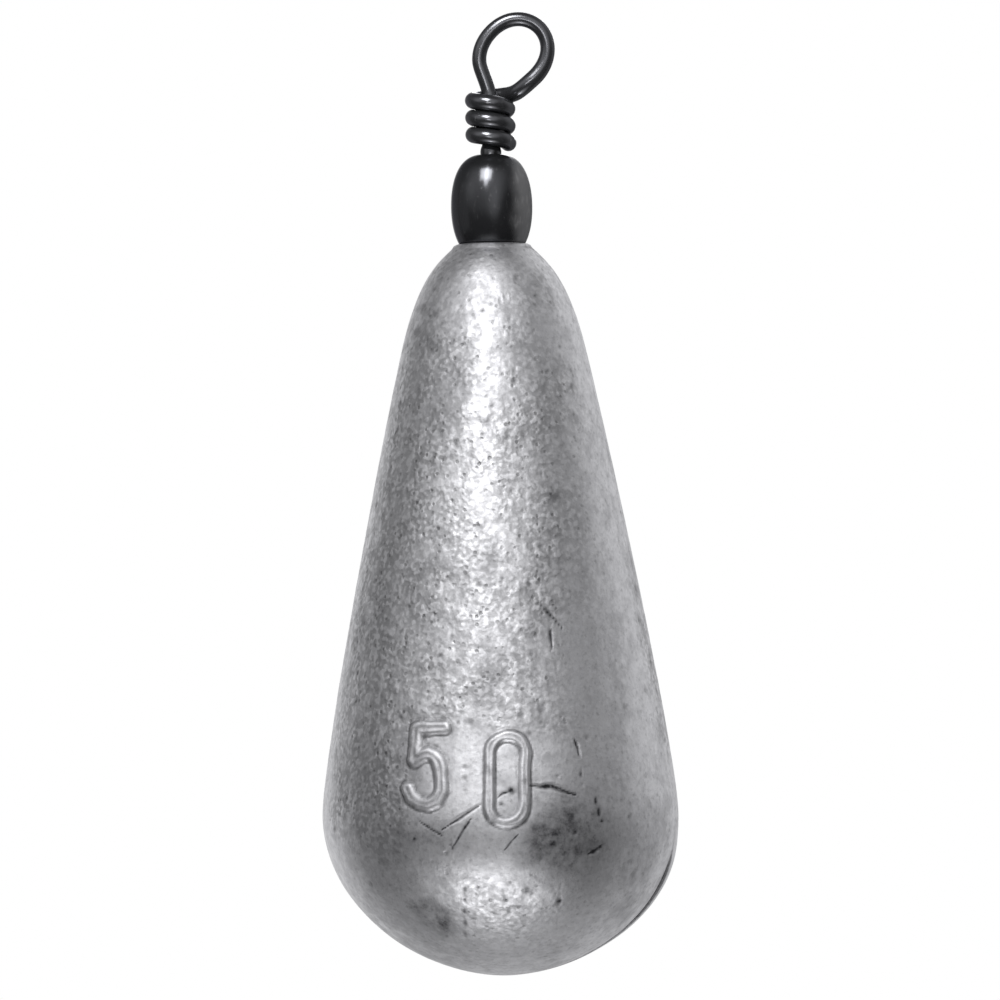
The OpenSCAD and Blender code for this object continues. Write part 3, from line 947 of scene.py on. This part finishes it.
# Soft boxes: name, the studio's property for its power, width, height, azimuth, elevation,
# distance, and the pieces that it lights, or none for all
SOFT_BOXES = [
    ("key light", "key", 0.08, 0.32, -17, 43, 0.5, ()),
    ("front light", "front", 0.16, 0.08, -8, 4, 0.5, WIRES),
    ("side light", "side", 0.25, 0.3, -88, 4, 0.4, ("pressed_barrel",)),
    ("under light", "under", 0.07, 0.05, -14, -60, 0.4, ()),
    ("swivel light", "gleam", 0.26, 0.2, -19, 46, 0.5, BLACK_PIECES),
    ("back light", "back", 0.16, 0.25, 172, 24, 0.5, BLACK_PIECES),
]
SENSOR_WIDTH = 36


def build_floor():
    s = bpy.context.scene.sinker_studio
    sides, rings = 96, 12
    z = LEAD_LOW.z - s.floor_drop
    points = [(s.floor_radius * i / rings * math.cos(2 * math.pi * j / sides),
               s.floor_radius * i / rings * math.sin(2 * math.pi * j / sides), z)
              for i in range(1, rings + 1) for j in range(sides)]
    points.append((0, 0, z))
    faces = [f[::-1] for f in ring_faces(rings, sides)] + fan(rings * sides, 0, sides)
    floor = link_mesh("floor", points, faces)
    floor.data.materials.append(floor_finish())
    floor.visible_glossy = False


def heading_of(azimuth, elevation):
    """Direction from the part, for degrees from the front to the right and above the horizon."""
    a, e = math.radians(azimuth), math.radians(elevation)
    return Vector((math.sin(a) * math.cos(e), -math.cos(a) * math.cos(e), math.sin(e)))


def studio_air():
    """White to the camera and to matt faces; soft lights and shades for the metal to reflect."""
    world = bpy.data.worlds.new("studio air")
    bpy.context.scene.world = world
    world.use_nodes = True
    f = Finish(world.node_tree)
    heading = f.node("ShaderNodeTexCoord", out="Generated")
    level = AIR_LEVEL
    for azimuth, elevation, half_width, brightness in SOFT_LIGHTS:
        near = f.vector("DOT_PRODUCT", {0: heading, 1: heading_of(azimuth, elevation)}, out="Value")
        narrow = math.log(2) / (1 - math.cos(math.radians(half_width)))
        level = level + brightness * near.maths("EXPONENT", (near - 1) * narrow)
    level = level.maths("MAXIMUM", level, AIR_LEAST)
    camera_ray = f.node("ShaderNodeLightPath", out="Is Camera Ray")
    matt_ray = f.node("ShaderNodeLightPath", out="Is Diffuse Ray")
    plain = camera_ray.maths("MAXIMUM", camera_ray, matt_ray)
    strength = level * (1 - plain) + plain
    shader = f.node("ShaderNodeBackground", None, {"Color": (1, 1, 1, 1), "Strength": strength})
    f.node("ShaderNodeOutputWorld", None, {"Surface": shader})


def add_light(name, power_name, width, height, azimuth, elevation, distance, only):
    """A soft box that faces the part, for all pieces or for those named alone."""
    light = bpy.data.lights.new(name, "AREA")
    light.shape, light.size, light.size_y = "RECTANGLE", width, height
    light.energy = getattr(bpy.context.scene.sinker_studio, power_name)
    lamp = bpy.data.objects.new(name, light)
    bpy.context.scene.collection.objects.link(lamp)
    aim = Vector((AXIS_X, 0, (LEAD_LOW.z + BARREL_HIGH.z) / 2))
    away = heading_of(azimuth, elevation)
    lamp.location = aim + away * distance
    lamp.rotation_mode = "QUATERNION"
    lamp.rotation_quaternion = (-away).to_track_quat("-Z", "Y")
    lamp.visible_camera = False
    if only:
        lit = bpy.data.collections.new(name + " pieces")
        for piece in only:
            lit.objects.link(bpy.data.objects[piece])
        lamp.light_linking.receiver_collection = lit


def build_camera():
    s = bpy.context.scene.sinker_studio
    data = bpy.data.cameras.new("camera")
    camera = bpy.data.objects.new("camera", data)
    bpy.context.scene.collection.objects.link(camera)
    data.sensor_width = SENSOR_WIDTH
    data.lens = SENSOR_WIDTH * s.distance / s.frame_width
    data.clip_start, data.clip_end = 0.01, 20
    back = Vector((0, -math.cos(s.tilt), math.sin(s.tilt)))
    camera.location = Vector((s.aim_x, 0, s.aim_z)) + back * s.distance
    turn = (-back).to_track_quat("-Z", "Y").to_matrix().to_4x4()
    roll = Euler((0, 0, -s.roll)).to_matrix().to_4x4()
    camera.rotation_euler = (turn @ roll).to_euler()
    bpy.context.scene.camera = camera


# Operators and panel

class SINKER_OT_lead(bpy.types.Operator):
    """Casts the lead weight with its figures, seam and sandy skin"""
    bl_idname = "sinker.lead"
    bl_label = "Cast lead weight"

    def execute(self, context):
        build_lead().data.materials.append(lead_finish())
        return {"FINISHED"}


class SINKER_OT_line_eye(bpy.types.Operator):
    """Bends the headed wire that the line is tied to"""
    bl_idname = "sinker.line_eye"
    bl_label = "Line eye"

    def execute(self, context):
        p = context.scene.sinker_plating
        finish = plating_finish("black wire", p.black_wire, p.wire_roughness, 0.5, 3.0)
        build_wire("bent_line_eye", "line_eye", "line_eye", False).data.materials.append(finish)
        return {"FINISHED"}


class SINKER_OT_anchor_eye(bpy.types.Operator):
    """Bends the headed wire that the lead is cast round"""
    bl_idname = "sinker.anchor_eye"
    bl_label = "Anchor eye"

    def execute(self, context):
        p = context.scene.sinker_plating
        finish = plating_finish("black anchor wire", p.black_wire, p.wire_roughness, 0.6, 2.6)
        build_wire("bent_anchor_eye", "weight", "anchor_eye", True).data.materials.append(finish)
        return {"FINISHED"}


class SINKER_OT_barrel(bpy.types.Operator):
    """Presses the hollow barrel that both wires turn in"""
    bl_idname = "sinker.barrel"
    bl_label = "Swivel barrel"

    def execute(self, context):
        p = context.scene.sinker_plating
        # The last value sets how much painted sheen lightens the barrel's right side
        finish = plating_finish("black barrel", p.black, p.barrel_roughness, 1.4, 0.6, 1.0)
        build_barrel().data.materials.append(finish)
        return {"FINISHED"}


class SINKER_OT_studio(bpy.types.Operator):
    """Sets up the floor, the light and the camera"""
    bl_idname = "sinker.studio"
    bl_label = "Studio"

    def execute(self, context):
        context.scene.view_settings.view_transform = "Standard"
        build_floor()
        studio_air()
        for soft_box in SOFT_BOXES:
            add_light(*soft_box)
        build_camera()
        return {"FINISHED"}


OPERATORS = (SINKER_OT_lead, SINKER_OT_line_eye, SINKER_OT_anchor_eye, SINKER_OT_barrel, SINKER_OT_studio)


class SINKER_PT_panel(bpy.types.Panel):
    """Lists the sinker's pieces and their sizes"""
    bl_idname = "SINKER_PT_panel"
    bl_label = "Sinker"
    bl_space_type = "VIEW_3D"
    bl_region_type = "UI"
    bl_category = "Sinker"

    def draw(self, context):
        for operator in OPERATORS:
            self.layout.operator(operator.bl_idname)
        for name, group in PROPERTY_GROUPS.items():
            box = self.layout.box()
            box.label(text=group.__doc__)
            for key in group.__annotations__:
                box.prop(getattr(context.scene, name), key)


def register():
    for cls in (*PROPERTY_GROUPS.values(), *OPERATORS, SINKER_PT_panel):
        bpy.utils.register_class(cls)
    for name, group in PROPERTY_GROUPS.items():
        setattr(bpy.types.Scene, name, PointerProperty(type=group))


def unregister():
    for name in PROPERTY_GROUPS:
        delattr(bpy.types.Scene, name)
    for cls in (SINKER_PT_panel, *reversed(OPERATORS), *reversed(list(PROPERTY_GROUPS.values()))):
        bpy.utils.unregister_class(cls)


def main():
    register()
    for call in (bpy.ops.sinker.lead, bpy.ops.sinker.line_eye, bpy.ops.sinker.anchor_eye,
                 bpy.ops.sinker.barrel, bpy.ops.sinker.studio):
        call()


if __name__ == "__main__":
    main()
